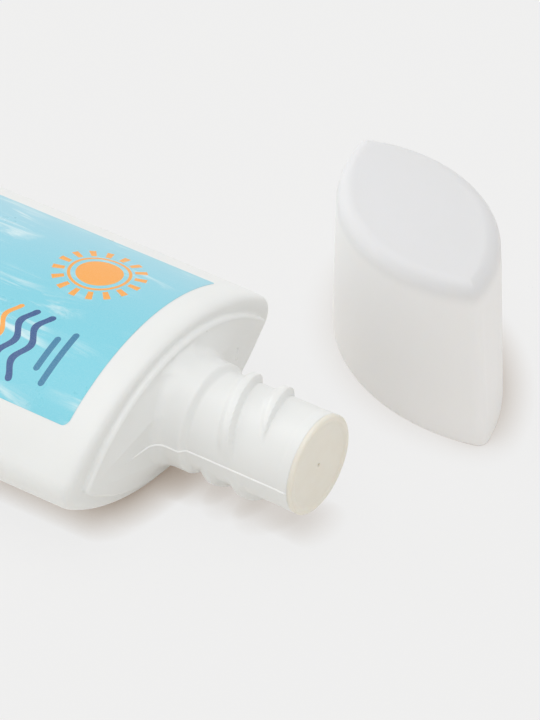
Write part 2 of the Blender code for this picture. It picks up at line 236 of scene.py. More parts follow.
# Bottle body
bottleShape = {
    "bellyShare": 0.012,
    "depth": 0.0328,
    "edgeRadius": 0.0048,
    "height": 0.1209,
    "wall": 0.0010,
    "cornerRadius": 0.0034,
    "standRing": 0.0030,
    "pushUpSlope": 0.0020,
    "pushUp": 0.0012,
    "rollHeight": 0.0038,
    "rollFullness": 0.72,
    "tipFullness": 0.52,
    "ledgeWidth": 0.0009,
    "ledgeFillet": 0.0005,
    "stepWidth": 0.0624,
    "stepDepth": 0.0280,
    "stepEdgeRadius": 0.0009,
    "stepHeight": 0.0015,
    "stepRimRadius": 0.0008,
    "tightestEdge": 0.0003,
    "neckRadius": 0.0105,
    "neckWall": 0.0013,
    "neckLength": 0.03265,
    "filletReach": 0.0056,
    "filletHeight": 0.0056,
    "filletRoom": 0.92,   # of the step's top that the sweep into the neck may take
    "wideRoom": 0.0120,   # from the neck to the rim, where the step's top counts as wide
    "wideReach": 0.0026,
    "wideHeight": 0.0026,
    "stepClimb": 0.12,
    "rimShare": 0.97,
    "collarProud": 0.0012,
    "collarStraight": 0.0021,
    "collarSlope": 0.0015,
    "beadHeight": 0.0022,
    "beadProud": 0.0001,
    "beadRise": 0.0004,
    "mouthRound": 0.0001,
    "neckRow": 0.0003,
    "partingHalfWidth": 0.00022,
    "partingProud": 0.00026,
    "partingFullness": 0.6,                     # lower for a rounder section
    "partingFade": 0.0004,
    "partingLead": 0.0088,                      # from the collar to where the line starts
    "leadReaches": 1.2,                         # and at least this many reaches of the sweep
    "partingColumns": (-1, -0.45, 0, 0.45, 1),  # across the line, in its half widths
    "partingClear": 1.2,                        # half widths without any other column
    "rows": {                                   # steps that each stretch is drawn in
        "pushUp": 6, "corner": 10, "side": 24, "roll": 16, "ledge": 6, "rim": 8,
        "fillet": 16, "insideFillet": 8, "mouth": 6,
    },
}
neckRidge = {
    "proud": 0.00145,
    "mouthFlank": 0.0013,
    "bodyFlank": 0.0030,
    "firstCrest": 0.0086,
    "turns": 0.84,
    "runIn": 0.17,
    "runOut": 0.08,
    "partingGap": 6,    # degrees each side of a parting line without a ridge
    "partingFade": 40,  # degrees over which a ridge comes back to full height
}

bottleWidth = (bodyHigh.y - bodyLow.y) / (1 + bottleShape["bellyShare"])
lyingHeight = insertMiddle.z - bodyLow.z
rollStart = bottleShape["height"] - bottleShape["rollHeight"]
stepTop = bottleShape["height"] + bottleShape["stepHeight"]
neckFoot = stepTop + bottleShape["filletHeight"]
collarTop = neckFoot + bottleShape["collarStraight"] + bottleShape["collarSlope"]
neckTop = stepTop + bottleShape["neckLength"]
insertTop = insertHigh.x - bodyLow.x
mouthRadius = bottleShape["neckRadius"] + bottleShape["beadProud"]
collarReach = bottleShape["neckRadius"] + bottleShape["collarProud"]
boreRadius = bottleShape["neckRadius"] - bottleShape["neckWall"]

# The mould's parting line needs finer columns of its own at both side edges
partingSpan = bottleShape["partingHalfWidth"] / bottleShape["neckRadius"]


def offPartingLine(angle):
    return abs((angle + quarterTurn) % math.pi - quarterTurn)


def partingShare(angle):
    # Share of the line's height at one angle round the neck
    return max(0, 1 - offPartingLine(angle) / partingSpan) ** bottleShape["partingFullness"]


partingClear = bottleShape["partingClear"] * partingSpan
bottleAngles = [angle for angle in ringAngles if offPartingLine(angle) > partingClear]
for middle in (math.pi, fullTurn):
    bottleAngles += [middle + partingSpan * share for share in bottleShape["partingColumns"]]
bottleAngles = sorted(angle % fullTurn for angle in bottleAngles)


def bodyWidth(height):
    # The bottle is a little wider halfway up
    span = (height - bottleShape["cornerRadius"]) / (rollStart - bottleShape["cornerRadius"])
    belly = math.sin(math.pi * min(1, max(0, span)))
    return bottleWidth * (1 + bottleShape["bellyShare"] * belly)


def bodyRing(angles, height, inset):
    width = bodyWidth(height) - 2 * inset
    radius = max(bottleShape["edgeRadius"] - inset, bottleShape["tightestEdge"])
    return lensRing(angles, width, bottleShape["depth"] - 2 * inset, radius, height)


def stepRing(angles, grow, height):
    radius = max(bottleShape["stepEdgeRadius"] + grow, bottleShape["tightestEdge"])
    width = bottleShape["stepWidth"] + 2 * grow
    return lensRing(angles, width, bottleShape["stepDepth"] + 2 * grow, radius, height)


def baseRings(angles, wall):
    standInset = bottleShape["cornerRadius"] + bottleShape["standRing"]
    slopeInset = standInset + bottleShape["pushUpSlope"]
    rings = []
    for turn in sweep(bottleShape["rows"]["pushUp"]):
        share = (1 + math.cos(2 * turn)) / 2
        inset = standInset + (slopeInset - standInset) * (1 - turn / quarterTurn)
        rings.append(atHeight(bodyRing(angles, 0, inset), wall + bottleShape["pushUp"] * share))
    radius = bottleShape["cornerRadius"] - wall
    for turn in sweep(bottleShape["rows"]["corner"]):
        ring = bodyRing(angles, 0, wall + radius * (1 - math.sin(turn)))
        rings.append(atHeight(ring, wall + radius * (1 - math.cos(turn))))
    return rings


def sideRings(angles, wall):
    low, rows = bottleShape["cornerRadius"], bottleShape["rows"]["side"]
    heights = [low + (rollStart - low) * row / rows for row in range(1, rows)]
    return [bodyRing(angles, height, wall) for height in heights]


def rollRings(angles, wall):
    # Rounder along the faces, squarer at the side edges
    ledge = stepRing(angles, bottleShape["ledgeWidth"] - wall, 0)
    side = bodyRing(angles, rollStart, wall)
    gain = bottleShape["tipFullness"] - bottleShape["rollFullness"]
    rings = []
    for turn in sweep(bottleShape["rows"]["roll"]):
        ring = []
        for angle, near, far in zip(angles, ledge, side):
            tip = 1 - smoothStep((offPartingLine(angle) - edgeSpan) / edgeSpan)
            fullness = bottleShape["rollFullness"] + gain * tip
            across = math.cos(turn) ** fullness if turn < quarterTurn else 0
            x = near[0] + (far[0] - near[0]) * across
            y = near[1] + (far[1] - near[1]) * across
            rise = bottleShape["rollHeight"] * math.sin(turn) ** fullness
            ring.append((x, y, rollStart - wall + rise))
        rings.append(ring)
    return rings


def stepRings(angles):
    # A hollow corner from the ledge, the step's upright side, and its round rim
    fillet, rim = bottleShape["ledgeFillet"], bottleShape["stepRimRadius"]
    rings = []
    for turn in sweep(bottleShape["rows"]["ledge"]):
        height = bottleShape["height"] + fillet * (1 - math.cos(turn))
        rings.append(stepRing(angles, fillet * (1 - math.sin(turn)), height))
    for turn in sweep(bottleShape["rows"]["rim"]):
        height = stepTop - rim * (1 - math.sin(turn))
        rings.append(stepRing(angles, -rim * (1 - math.cos(turn)), height))
    return rings


def filletColumn(angle, edge, near, low, steps, proud):
    # One line of points across the step's top, from its rim to the neck, as seen from above.
    # The top climbs gently where it is wide, then sweeps up into the neck.
    shape = bottleShape
    room = math.hypot(edge[0] - near[0], edge[1] - near[1])
    wide = smoothStep(room / shape["wideRoom"])
    reach = shape["filletReach"] + (shape["wideReach"] - shape["filletReach"]) * wide
    height = shape["filletHeight"] + (shape["wideHeight"] - shape["filletHeight"]) * wide
    reach = min(reach, shape["filletRoom"] * room)
    rimOut = shape["rimShare"]
    lead = max(shape["partingLead"], shape["leadReaches"] * reach)
    leadOut = min((rimOut + reach / room) / 2, lead / room)
    lift = proud * partingShare(angle) if math.cos(angle) < 0 else 0
    places = [(rimOut, 0, 0), (leadOut, 0, 0)]
    places += [(reach * (1 - math.sin(turn)) / room, turn, lift) for turn in sweep(steps)]
    column = []
    for out, turn, line in places:
        climb = shape["stepClimb"] * wide * room * (rimOut - out)
        rise = climb + height * (1 - math.cos(turn)) + line * math.cos(turn)
        x = near[0] + (edge[0] - near[0]) * out - line * math.sin(turn)
        column.append((x, near[1] + (edge[1] - near[1]) * out, low + rise))
    return column


def filletRings(angles, rim, radius, low, steps, proud=0):
    circle = circleRing(angles, radius, 0)
    columns = [filletColumn(angle, edge, near, low, steps, proud)
               for angle, edge, near in zip(angles, rim, circle)]
    return [list(ring) for ring in zip(*columns)]


def neckReach(angle, height):
    # Outside of the neck: the collar at its foot, the ridges, the bead and the parting line
    pastGap = math.degrees(offPartingLine(angle)) - neckRidge["partingGap"]
    fade = smoothStep(pastGap / neckRidge["partingFade"])
    ridge = neckRidge["proud"] * fade * ridgeHeight(angle, insertTop - height, neckRidge)
    collar = smoothStep((collarTop - height) / bottleShape["collarSlope"])
    bead = smoothStep((height - neckTop + bottleShape["beadHeight"]) / bottleShape["beadRise"])
    collar = bottleShape["collarProud"] * collar
    line = min(1, max(0, neckTop - height) / bottleShape["partingFade"])
    if math.cos(angle) > 0:
        # On the far side the line fades in above the collar
        line *= smoothStep((height - collarTop) / bottleShape["filletHeight"])
    line = bottleShape["partingProud"] * line * partingShare(angle)
    return bottleShape["neckRadius"] + max(ridge, collar, bottleShape["beadProud"] * bead) + line


def neckRings(angles):
    mouthRound = bottleShape["mouthRound"]
    straight = neckTop - mouthRound - neckFoot
    rings = []
    rows = math.ceil(straight / bottleShape["neckRow"])
    for row in range(1, rows):
        rings.append(shapedRing(angles, neckFoot + straight * row / rows, neckReach))
    for turn in sweep(bottleShape["rows"]["mouth"]):
        radius = mouthRadius - mouthRound * (1 - math.cos(turn))
        rings.append(circleRing(angles, radius, neckTop - mouthRound * (1 - math.sin(turn))))
    return rings


def outsideRings(angles):
    step = stepRings(angles)
    rings = baseRings(angles, 0) + sideRings(angles, 0) + rollRings(angles, 0) + step
    steps = bottleShape["rows"]["fillet"]
    rings += filletRings(angles, step[-1], collarReach, stepTop, steps, bottleShape["partingProud"])
    rings += neckRings(angles)
    # The back is flat where the bottle lies on it
    return [[(x, max(y, -lyingHeight), z) for x, y, z in ring] for ring in rings]


def insideRings(angles):
    wall, steps = bottleShape["wall"], bottleShape["rows"]["insideFillet"]
    rim = stepRing(angles, -wall, 0)
    rings = [circleRing(angles, boreRadius, neckTop)]
    rings += reversed(filletRings(angles, rim, boreRadius, stepTop - wall, steps))
    rings.append(atHeight(rim, stepTop - wall))
    rings.append(atHeight(rim, bottleShape["height"] - wall))
    rings += reversed(baseRings(angles, wall) + sideRings(angles, wall) + rollRings(angles, wall))
    return rings


def makeBottle(material):
    pushUp = bottleShape["pushUp"]
    rings = outsideRings(bottleAngles) + insideRings(bottleAngles)
    edit = loft(rings, (0, 0, pushUp), (0, 0, pushUp + bottleShape["wall"]))
    finishPiece("bottleBody", edit, bottlePlace, "bottle_body", material)


# Insert in the mouth
insertShape = {
    "flange": 0.00105,
    "lowRound": 0.0001,
    "edgeRound": 0.0005,
    "rimWidth": 0.0015,
    "recess": 0.0003,
    "recessSlope": 0.0008,
    "slopeSteps": 8,
    "floor": 0.0009,
    "skirtWall": 0.0009,
    "skirtLength": 0.0080,
    "leadIn": 0.0005,
    "clearance": 0.0002,
    "orifice": 0.00035,
    "orificeRound": 0.0003,
    "nozzleWall": 0.0009,
    "nozzleLength": 0.0030,
}


def cornerPoints(radius, height, size, first, last, steps=5):
    # An arc about a point of the profile, by angles in degrees
    points = []
    for step in range(steps + 1):
        angle = math.radians(first + (last - first) * step / steps)
        points.append((radius + size * math.cos(angle), height + size * math.sin(angle)))
    return points


def makeInsert(material):
    shape = insertShape
    edge = shape["edgeRound"]
    skirtOuter = boreRadius - shape["clearance"]
    skirtInner = skirtOuter - shape["skirtWall"]
    recessRadius = mouthRadius - shape["rimWidth"]
    floorTop = insertTop - shape["recess"]
    floorLow = floorTop - shape["floor"]
    skirtLow = insertTop - shape["skirtLength"]
    nozzleOuter = shape["orifice"] + shape["nozzleWall"]
    nozzleLow = floorLow - shape["nozzleLength"]
    flangeLow = insertTop - shape["flange"]
    low = shape["lowRound"]
    profile = [(skirtOuter, flangeLow)]
    profile += cornerPoints(mouthRadius - low, flangeLow + low, low, -90, 0)
    profile += cornerPoints(mouthRadius - edge, insertTop - edge, edge, 0, 90)
    for step in range(shape["slopeSteps"] + 1):
        share = step / shape["slopeSteps"]
        radius = recessRadius + shape["recessSlope"] * (0.5 - share)
        profile.append((radius, insertTop - shape["recess"] * smoothStep(share)))
    lip = shape["orificeRound"]
    profile += cornerPoints(shape["orifice"] + lip, floorTop - lip, lip, 90, 180)
    profile += [(shape["orifice"], nozzleLow), (nozzleOuter, nozzleLow), (nozzleOuter, floorLow)]
    profile += [(skirtInner, floorLow), (skirtInner, skirtLow)]
    profile += [(skirtOuter - shape["leadIn"], skirtLow), (skirtOuter, skirtLow + shape["leadIn"])]
    edit = turned(profile)
    finishPiece("orificeInsert", edit, bottlePlace, "orifice_insert", material)


# Cap and its sealing disc
capShape = {
    "insideGrow": 0.0003,
    "wall": 0.00106,
    "tipDraft": 0.0048,
    "faceDraft": 0.0002,
    "tipRound": 0.0032,
    "faceRound": 0.0038,
    "crown": 0.0003,
    "crownRadius": 0.0050,
    "topWall": 0.0010,
    "footRound": 0.00025,
    "sleeveWall": 0.0009,
    "sleeveClearance": 0.0002,
    "sleeveLow": 0.0127,
    "sealEdge": 0.00025,
    "rows": {  # steps that each stretch is drawn in
        "crown": 16, "edge": 14, "wall": 12, "foot": 4, "inside": 6, "insideEdge": 6, "thread": 44,
    },
}
capRidge = {
    "proud": 0.0011,
    "mouthFlank": 0.0014,
    "bodyFlank": 0.0014,
    "firstCrest": 0.0014,
    "turns": 0.62,
    "runIn": 0.10,
    "runOut": 0.10,
}

capTop = capHigh.z - capLow.z - capShape["crown"]
crownHeight = capTop + capShape["crown"]
capCeiling = capTop - capShape["topWall"]
sleeveInner = bottleShape["neckRadius"] + neckRidge["proud"] + capShape["sleeveClearance"]
capThreadSpan = threadRule["lead"] * capRidge["turns"] + 2 * capRidge["bodyFlank"]
capThreadTop = capShape["sleeveLow"] + capThreadSpan
sealLow = linerLow.z - capLow.z
sealHigh = linerHigh.z - capLow.z


def sleeveReach(angle, height):
    return sleeveInner - capRidge["proud"] * ridgeHeight(angle, capThreadTop - height, capRidge)


def capRing(angles, grow, height):
    share = height / capTop
    width = bottleShape["stepWidth"] + 2 * grow - 2 * capShape["tipDraft"] * share
    depth = bottleShape["stepDepth"] + 2 * grow - 2 * capShape["faceDraft"] * share
    return lensRing(angles, width, depth, bottleShape["stepEdgeRadius"] + grow, height)


def capEdgeRing(angles, turn, grow, top, thinner=0):
    # The top edge is softest along the faces
    outer = capRing(angles, grow, top)
    width, depth = 2 * max(point[0] for point in outer), 2 * max(point[1] for point in outer)
    tip, face = capShape["tipRound"] - thinner, capShape["faceRound"] - thinner
    inset = 1 - math.sin(turn)
    edgeRadius = bottleShape["stepEdgeRadius"] + grow - tip * inset
    edgeRadius = max(edgeRadius, bottleShape["tightestEdge"])
    shrunk = lensRing(angles, width - 2 * tip * inset, depth - 2 * face * inset, edgeRadius, top)
    ring = []
    for (x, y, z), first in zip(shrunk, outer):
        drop = tip + (face - tip) * 2 * abs(first[1]) / depth
        ring.append((x, y, z - drop * (1 - math.cos(turn))))
    return ring


def capOutsideRings(angles):
    rows, foot = capShape["rows"], capShape["footRound"]
    grow = capShape["insideGrow"] + capShape["wall"]
    crown = circleRing(angles, capShape["crownRadius"], crownHeight)
    edge = capEdgeRing(angles, 0, grow, capTop)
    rings = []
    for turn in sweep(rows["crown"]):
        share = turn / quarterTurn
        height = crownHeight - capShape["crown"] * smoothStep(share)
        rings.append(blendRing(crown, edge, share, height))
    rings += [capEdgeRing(angles, turn, grow, capTop) for turn in sweep(rows["edge"], 1)]
    for row in range(1, rows["wall"]):
        height = (capTop - capShape["faceRound"]) * (1 - row / rows["wall"])
        rings.append(capRing(angles, grow, height))
    for turn in sweep(rows["foot"]):
        inset = foot * (1 - math.cos(turn))
        rings.append(capRing(angles, grow - inset, foot * (1 - math.sin(turn))))
    return rings


def capInsideRings(angles):
    # Up the inside of the shell, then down and up again round the threaded sleeve
    rows, foot, grow = capShape["rows"], capShape["footRound"], capShape["insideGrow"]
    rings = []
    for turn in sweep(rows["foot"]):
        outset = foot * (1 - math.sin(turn))
        rings.append(capRing(angles, grow + outset, foot * (1 - math.cos(turn))))
    for row in range(1, rows["inside"] + 1):
        height = (capCeiling - capShape["faceRound"]) * row / rows["inside"]
        rings.append(capRing(angles, grow, height))
    for turn in reversed(sweep(rows["insideEdge"])):
        rings.append(capEdgeRing(angles, turn, grow, capCeiling, capShape["wall"]))
    sleeveOuter = sleeveInner + capShape["sleeveWall"]
    sleeveLow = capShape["sleeveLow"]
    rings.append(circleRing(angles, sleeveOuter, capCeiling))
    rings.append(circleRing(angles, sleeveOuter, sleeveLow))
    rings.append(circleRing(angles, sleeveInner, sleeveLow))
    for row in range(1, rows["thread"] + 1):
        height = sleeveLow + capThreadSpan * row / rows["thread"]
        rings.append(shapedRing(angles, height, sleeveReach))
    rings.append(circleRing(angles, sleeveInner, capCeiling))
    return rings


def makeCap(material):
    rings = capOutsideRings(ringAngles) + capInsideRings(ringAngles)
    edit = loft(rings, (0, 0, crownHeight), (0, 0, capCeiling))
    finishPiece("screwCap", edit, capPlace, "cap", material)


def makeSeal(material):
    radius = (linerHigh.x - linerLow.x) / 2
    edge = capShape["sealEdge"]
    profile = [(radius / ringColumns, sealLow)]
    profile += cornerPoints(radius - edge, sealLow + edge, edge, -90, 0)
    profile += cornerPoints(radius - edge, sealHigh - edge, edge, 0, 90)
    profile += [(radius / ringColumns, sealHigh)]
    rings = [circleRing(ringAngles, reach, height) for reach, height in profile]
    edit = loft(rings, (0, 0, sealLow), (0, 0, sealHigh))
    finishPiece("capSeal", edit, capPlace, "cap_liner", material)


# Printed film
labelShape = {
    "nearWidth": 0.0260,
    "farWidth": 0.0264,
    "low": 0.0110,
    "high": 0.1136,
    "skew": 0.014,        # the print sits slightly askew on the bottle
    "nearCorner": 0.0014,
    "farCorner": 0.0005,
    "thickness": 0.00006,
    "offset": 0.00001,
    "columns": 72,
    "rows": 90,
    "bendRows": 14,
}


def faceHeight(across, height):
    # Distance of the front face from the middle plane, at one place
    depth = bottleShape["depth"]
    arcRadius = lensArc(bodyWidth(height), depth, bottleShape["edgeRadius"])[1]
    return math.sqrt(arcRadius ** 2 - across ** 2) - (arcRadius - depth / 2)


def sideInset(fromEnd, corner):
    # How far a side edge is drawn in by its round corner, near an end of the print
    gap = max(0, corner - fromEnd)
    return corner - math.sqrt(corner ** 2 - gap ** 2)


def makeLabel(material):
    shape = labelShape
    corner = max(shape["nearCorner"], shape["farCorner"])
    bend = [corner * (1 - math.cos(turn)) for turn in sweep(shape["bendRows"])]
    straight = shape["high"] - shape["low"] - 2 * corner
    rows = [shape["low"] + rise for rise in bend]
    rows += [rows[-1] + straight * row / shape["rows"] for row in range(1, shape["rows"])]
    rows += [shape["high"] - rise for rise in reversed(bend)]
    edit = bmesh.new()
    layers = []
    for lift in (shape["offset"], shape["offset"] + shape["thickness"]):
        grid = []
        for height in rows:
            fromEnd = min(height - shape["low"], shape["high"] - height)
            left = sideInset(fromEnd, shape["nearCorner"]) - shape["nearWidth"]
            right = shape["farWidth"] - sideInset(fromEnd, shape["farCorner"])
            line = []
            for column in range(shape["columns"] + 1):
                x = left + (right - left) * column / shape["columns"]
                along = height - shape["skew"] * x * (height / shape["high"])
                line.append(edit.verts.new((x, faceHeight(x, along) + lift, along)))
            grid.append(line)
        layers.append(grid)
    for grid in layers:
        for line, above in zip(grid, grid[1:]):
            for column in range(shape["columns"]):
                edit.faces.new((line[column], line[column + 1], above[column + 1], above[column]))
    under, over = layers
    last = shape["columns"]
    border = [(row, 0) for row in range(len(rows))]
    border += [(len(rows) - 1, column) for column in range(1, last + 1)]
    border += [(row, last) for row in reversed(range(len(rows) - 1))]
    border += [(0, column) for column in reversed(range(1, last))]
    for (row, column), (nextRow, nextColumn) in zip(border, border[1:] + border[:1]):
        edit.faces.new((under[row][column], under[nextRow][nextColumn],
                        over[nextRow][nextColumn], over[row][column]))
    finishPiece("frontLabel", edit, bottlePlace, "front_label", material)


# Node helpers
def screenColour(red, green, blue):
    # A colour as seen on screen, 0 to 255, as the linear values that the shader takes
    linear = []
    for value in (red, green, blue):
        share = value / 255
        linear.append(share / 12.92 if share <= 0.04045 else ((share + 0.055) / 1.055) ** 2.4)
    return (*linear, 1)


def addNode(tree, kind, **settings):
    node = tree.nodes.new(kind)
    for name, value in settings.items():
        setattr(node, name, value)
    return node


def feed(tree, socket, value):
    # Join a socket to another one, or set its value
    if isinstance(value, bpy.types.NodeSocket):
        tree.links.new(value, socket)
    else:
        socket.default_value = value


def axes(tree, vector):
    node = addNode(tree, "ShaderNodeSeparateXYZ")
    feed(tree, node.inputs["Vector"], vector)
    return node.outputs


def calc(tree, operation, *values, clamp=False):
    node = addNode(tree, "ShaderNodeMath", operation=operation, use_clamp=clamp)
    for socket, value in zip(node.inputs, values):
        feed(tree, socket, value)
    return node.outputs[0]


def mixColour(tree, share, first, second):
    # A Mix node's colours are its inputs 6 and 7 and its output 2
    node = addNode(tree, "ShaderNodeMix", data_type="RGBA")
    feed(tree, node.inputs["Factor"], share)
    feed(tree, node.inputs[6], first)
    feed(tree, node.inputs[7], second)
    return node.outputs[2]


def noise(tree, vector, scale, detail=3, rough=0.5, distortion=0):
    node = addNode(tree, "ShaderNodeTexNoise")
    feed(tree, node.inputs["Vector"], vector)
    feed(tree, node.inputs["Scale"], scale)
    feed(tree, node.inputs["Detail"], detail)
    feed(tree, node.inputs["Roughness"], rough)
    feed(tree, node.inputs["Distortion"], distortion)
    return node.outputs["Fac"]


def remap(tree, value, fromLow, fromHigh, toLow, toHigh, smooth=False):
    node = addNode(tree, "ShaderNodeMapRange")
    node.interpolation_type = "SMOOTHSTEP" if smooth else "LINEAR"
    for name, item in zip(("Value", "From Min", "From Max", "To Min", "To Max"),
                          (value, fromLow, fromHigh, toLow, toHigh)):
        feed(tree, node.inputs[name], item)
    return node.outputs["Result"]


def newGroup(name, inputs, outputs):
    group = bpy.data.node_groups.new(name, "ShaderNodeTree")
    for label, kind, value in inputs:
        socket = group.interface.new_socket(name=label, in_out="INPUT", socket_type=kind)
        if value is not None:
            socket.default_value = value
    for label, kind in outputs:
        group.interface.new_socket(name=label, in_out="OUTPUT", socket_type=kind)
    given = group.nodes.new("NodeGroupInput").outputs
    made = group.nodes.new("NodeGroupOutput").inputs
    return group, given, made


noiseBand = (0.3, 0.7)  # a noise seldom leaves this range


def mouldedSkinGroup():
    # Slow unevenness and fine grain of moulded plastic, with the gloss varying a little
    group, given, made = newGroup(
        "Moulded skin",
        [("Vector", "NodeSocketVector", None), ("Wave Scale", "NodeSocketFloat", 90),
         ("Grain Scale", "NodeSocketFloat", 2600), ("Grain Share", "NodeSocketFloat", 0.3),
         ("Smoothest", "NodeSocketFloat", 0.3), ("Roughest", "NodeSocketFloat", 0.4)],
        [("Height", "NodeSocketFloat"), ("Roughness", "NodeSocketFloat")])
    wave = noise(group, given["Vector"], given["Wave Scale"], detail=2)
    grain = noise(group, given["Vector"], given["Grain Scale"], detail=2)
    grainPart = calc(group, "MULTIPLY", grain, given["Grain Share"])
    feed(group, made["Height"], calc(group, "ADD", wave, grainPart))
    patch = noise(group, given["Vector"], given["Wave Scale"], detail=4, rough=0.6)
    rough = remap(group, patch, *noiseBand, given["Smoothest"], given["Roughest"])
    feed(group, made["Roughness"], rough)
    return group


def paleMottleGroup():
    # Faint clouds between two near colours
    group, given, made = newGroup(
        "Pale mottle",
        [("Vector", "NodeSocketVector", None), ("Scale", "NodeSocketFloat", 60),
         ("Light", "NodeSocketColor", None), ("Deep", "NodeSocketColor", None)],
        [("Color", "NodeSocketColor")])
    cloud = noise(group, given["Vector"], given["Scale"], detail=4, rough=0.55)
    share = remap(group, cloud, *noiseBand, 0, 1, smooth=True)
    feed(group, made["Color"], mixColour(group, share, given["Light"], given["Deep"]))
    return group


def useGroup(tree, group, **values):
    node = addNode(tree, "ShaderNodeGroup", node_tree=group)
    for label, value in values.items():
        feed(tree, node.inputs[label], value)
    return node.outputs


def newMaterial(name):
    material = bpy.data.materials.new(name)
    material.use_nodes = True
    tree = material.node_tree
    shader = tree.nodes["Principled BSDF"]
    where = addNode(tree, "ShaderNodeTexCoord").outputs["Object"]
    return material, tree, shader, where


def addSkin(tree, shader, where, look, skinGroup):
    # The gloss and the fine unevenness of a surface
    skin = useGroup(tree, skinGroup, **{
        "Vector": where, "Wave Scale": look["waveScale"], "Grain Scale": look["grainScale"],
        "Grain Share": look["grainShare"], "Smoothest": look["smoothest"],
        "Roughest": look["roughest"]})
    feed(tree, shader.inputs["Roughness"], skin["Roughness"])
    bump = addNode(tree, "ShaderNodeBump")
    bump.inputs["Distance"].default_value = look["bumpDepth"]
    bump.inputs["Strength"].default_value = look["bumpStrength"]
    feed(tree, bump.inputs["Height"], skin["Height"])
    feed(tree, shader.inputs["Normal"], bump.outputs["Normal"])


def partingHighlightColour(tree, where, plain, look):
    # A painted highlight: the near parting line is drawn whiter than the skin beside it, fading in
    # on the step's top
    place = axes(tree, where)
    halfWidth = look["partingHighlightCover"] * bottleShape["partingHalfWidth"]
    onLine = calc(tree, "COMPARE", place["Z"], insertMiddle.z, halfWidth)
    first = insertMiddle.y - collarReach - bottleShape["partingLead"]
    full = first + bottleShape["partingLead"] / 2
    nearEnd = remap(tree, place["Y"], first, full, 0, 1, smooth=True)
    nearSide = calc(tree, "LESS_THAN", place["Y"], insertMiddle.y)
    pastStep = calc(tree, "GREATER_THAN", place["X"], bodyLow.x + stepTop)
    mask = calc(tree, "MULTIPLY", calc(tree, "MULTIPLY", onLine, nearEnd),
                calc(tree, "MULTIPLY", nearSide, pastStep))
    return mixColour(tree, mask, plain, screenColour(*look["partingHighlightTone"]))


scatterSpread = (1.0, 0.85, 0.7)  # how far red, green and blue reach, as shares of the depth


def plasticMaterial(name, look, skinGroup, mottleGroup):
    material, tree, shader, where = newMaterial(name)
    colour = useGroup(tree, mottleGroup, **{
        "Vector": where, "Scale": look["cloudScale"],
        "Light": screenColour(*look["light"]), "Deep": screenColour(*look["deep"])})["Color"]
    # The near parting line gets a painted highlight
    if "partingHighlightTone" in look:
        colour = partingHighlightColour(tree, where, colour, look)
    if "paintedWallLightTone" in look:
        # Painted light: the cap's walls are given a paler tone than its top, so they show lighter
        # than the lamps alone make them
        lowFade, highFade = look["paintedWallLightFade"]
        wall = remap(tree, axes(tree, where)["Z"], capHigh.z - lowFade, capHigh.z - highFade, 1, 0,
                     smooth=True)
        colour = mixColour(tree, wall, colour, screenColour(*look["paintedWallLightTone"]))
    feed(tree, shader.inputs["Base Color"], colour)
    addSkin(tree, shader, where, look, skinGroup)
    shader.inputs["IOR"].default_value = look["ior"]
    shader.inputs["Subsurface Weight"].default_value = look["scatter"]
    shader.inputs["Subsurface Radius"].default_value = scatterSpread
    shader.inputs["Subsurface Scale"].default_value = look["scatterDepth"]
    return material


plasticLooks = {
    "bottle": {
        "light": (235, 236, 234), "deep": (233, 234, 232), "cloudScale": 40,
        "waveScale": 70, "grainScale": 3200, "grainShare": 0.05,
        "smoothest": 0.27, "roughest": 0.35, "bumpDepth": 0.00004, "bumpStrength": 0.15,
        "ior": 1.50, "scatter": 0.15, "scatterDepth": 0.0003, "partingHighlightTone": (252, 252, 251),
        "partingHighlightCover": 0.9,              # how much of the line's width carries the painted highlight
    },
    "cap": {
        "light": (222, 222, 223), "deep": (221, 221, 221), "cloudScale": 40,
        "waveScale": 60, "grainScale": 3600, "grainShare": 0.5,
        "smoothest": 0.44, "roughest": 0.50, "bumpDepth": 0.00002, "bumpStrength": 0.2,
        "ior": 1.49, "scatter": 0.2, "scatterDepth": 0.0004, "paintedWallLightTone": (242, 241, 240),
        "paintedWallLightFade": (0.0058, 0.0008),     # how far under the top the walls' painted light begins and ends
    },
    "insert": {
        "light": (235, 231, 220), "deep": (233, 228, 216), "cloudScale": 220,
        "waveScale": 200, "grainScale": 4200, "grainShare": 0.2,
        "smoothest": 0.30, "roughest": 0.40, "bumpDepth": 0.00003, "bumpStrength": 0.25,
        "ior": 1.51, "scatter": 0.5, "scatterDepth": 0.0008,
    },
    "seal": {
        "light": (240, 240, 238), "deep": (226, 226, 222), "cloudScale": 900,
        "waveScale": 1400, "grainScale": 5200, "grainShare": 0.8,
        "smoothest": 0.70, "roughest": 0.85, "bumpDepth": 0.00010, "bumpStrength": 0.7,
        "ior": 1.45, "scatter": 0.0, "scatterDepth": 0.001,
    },
}

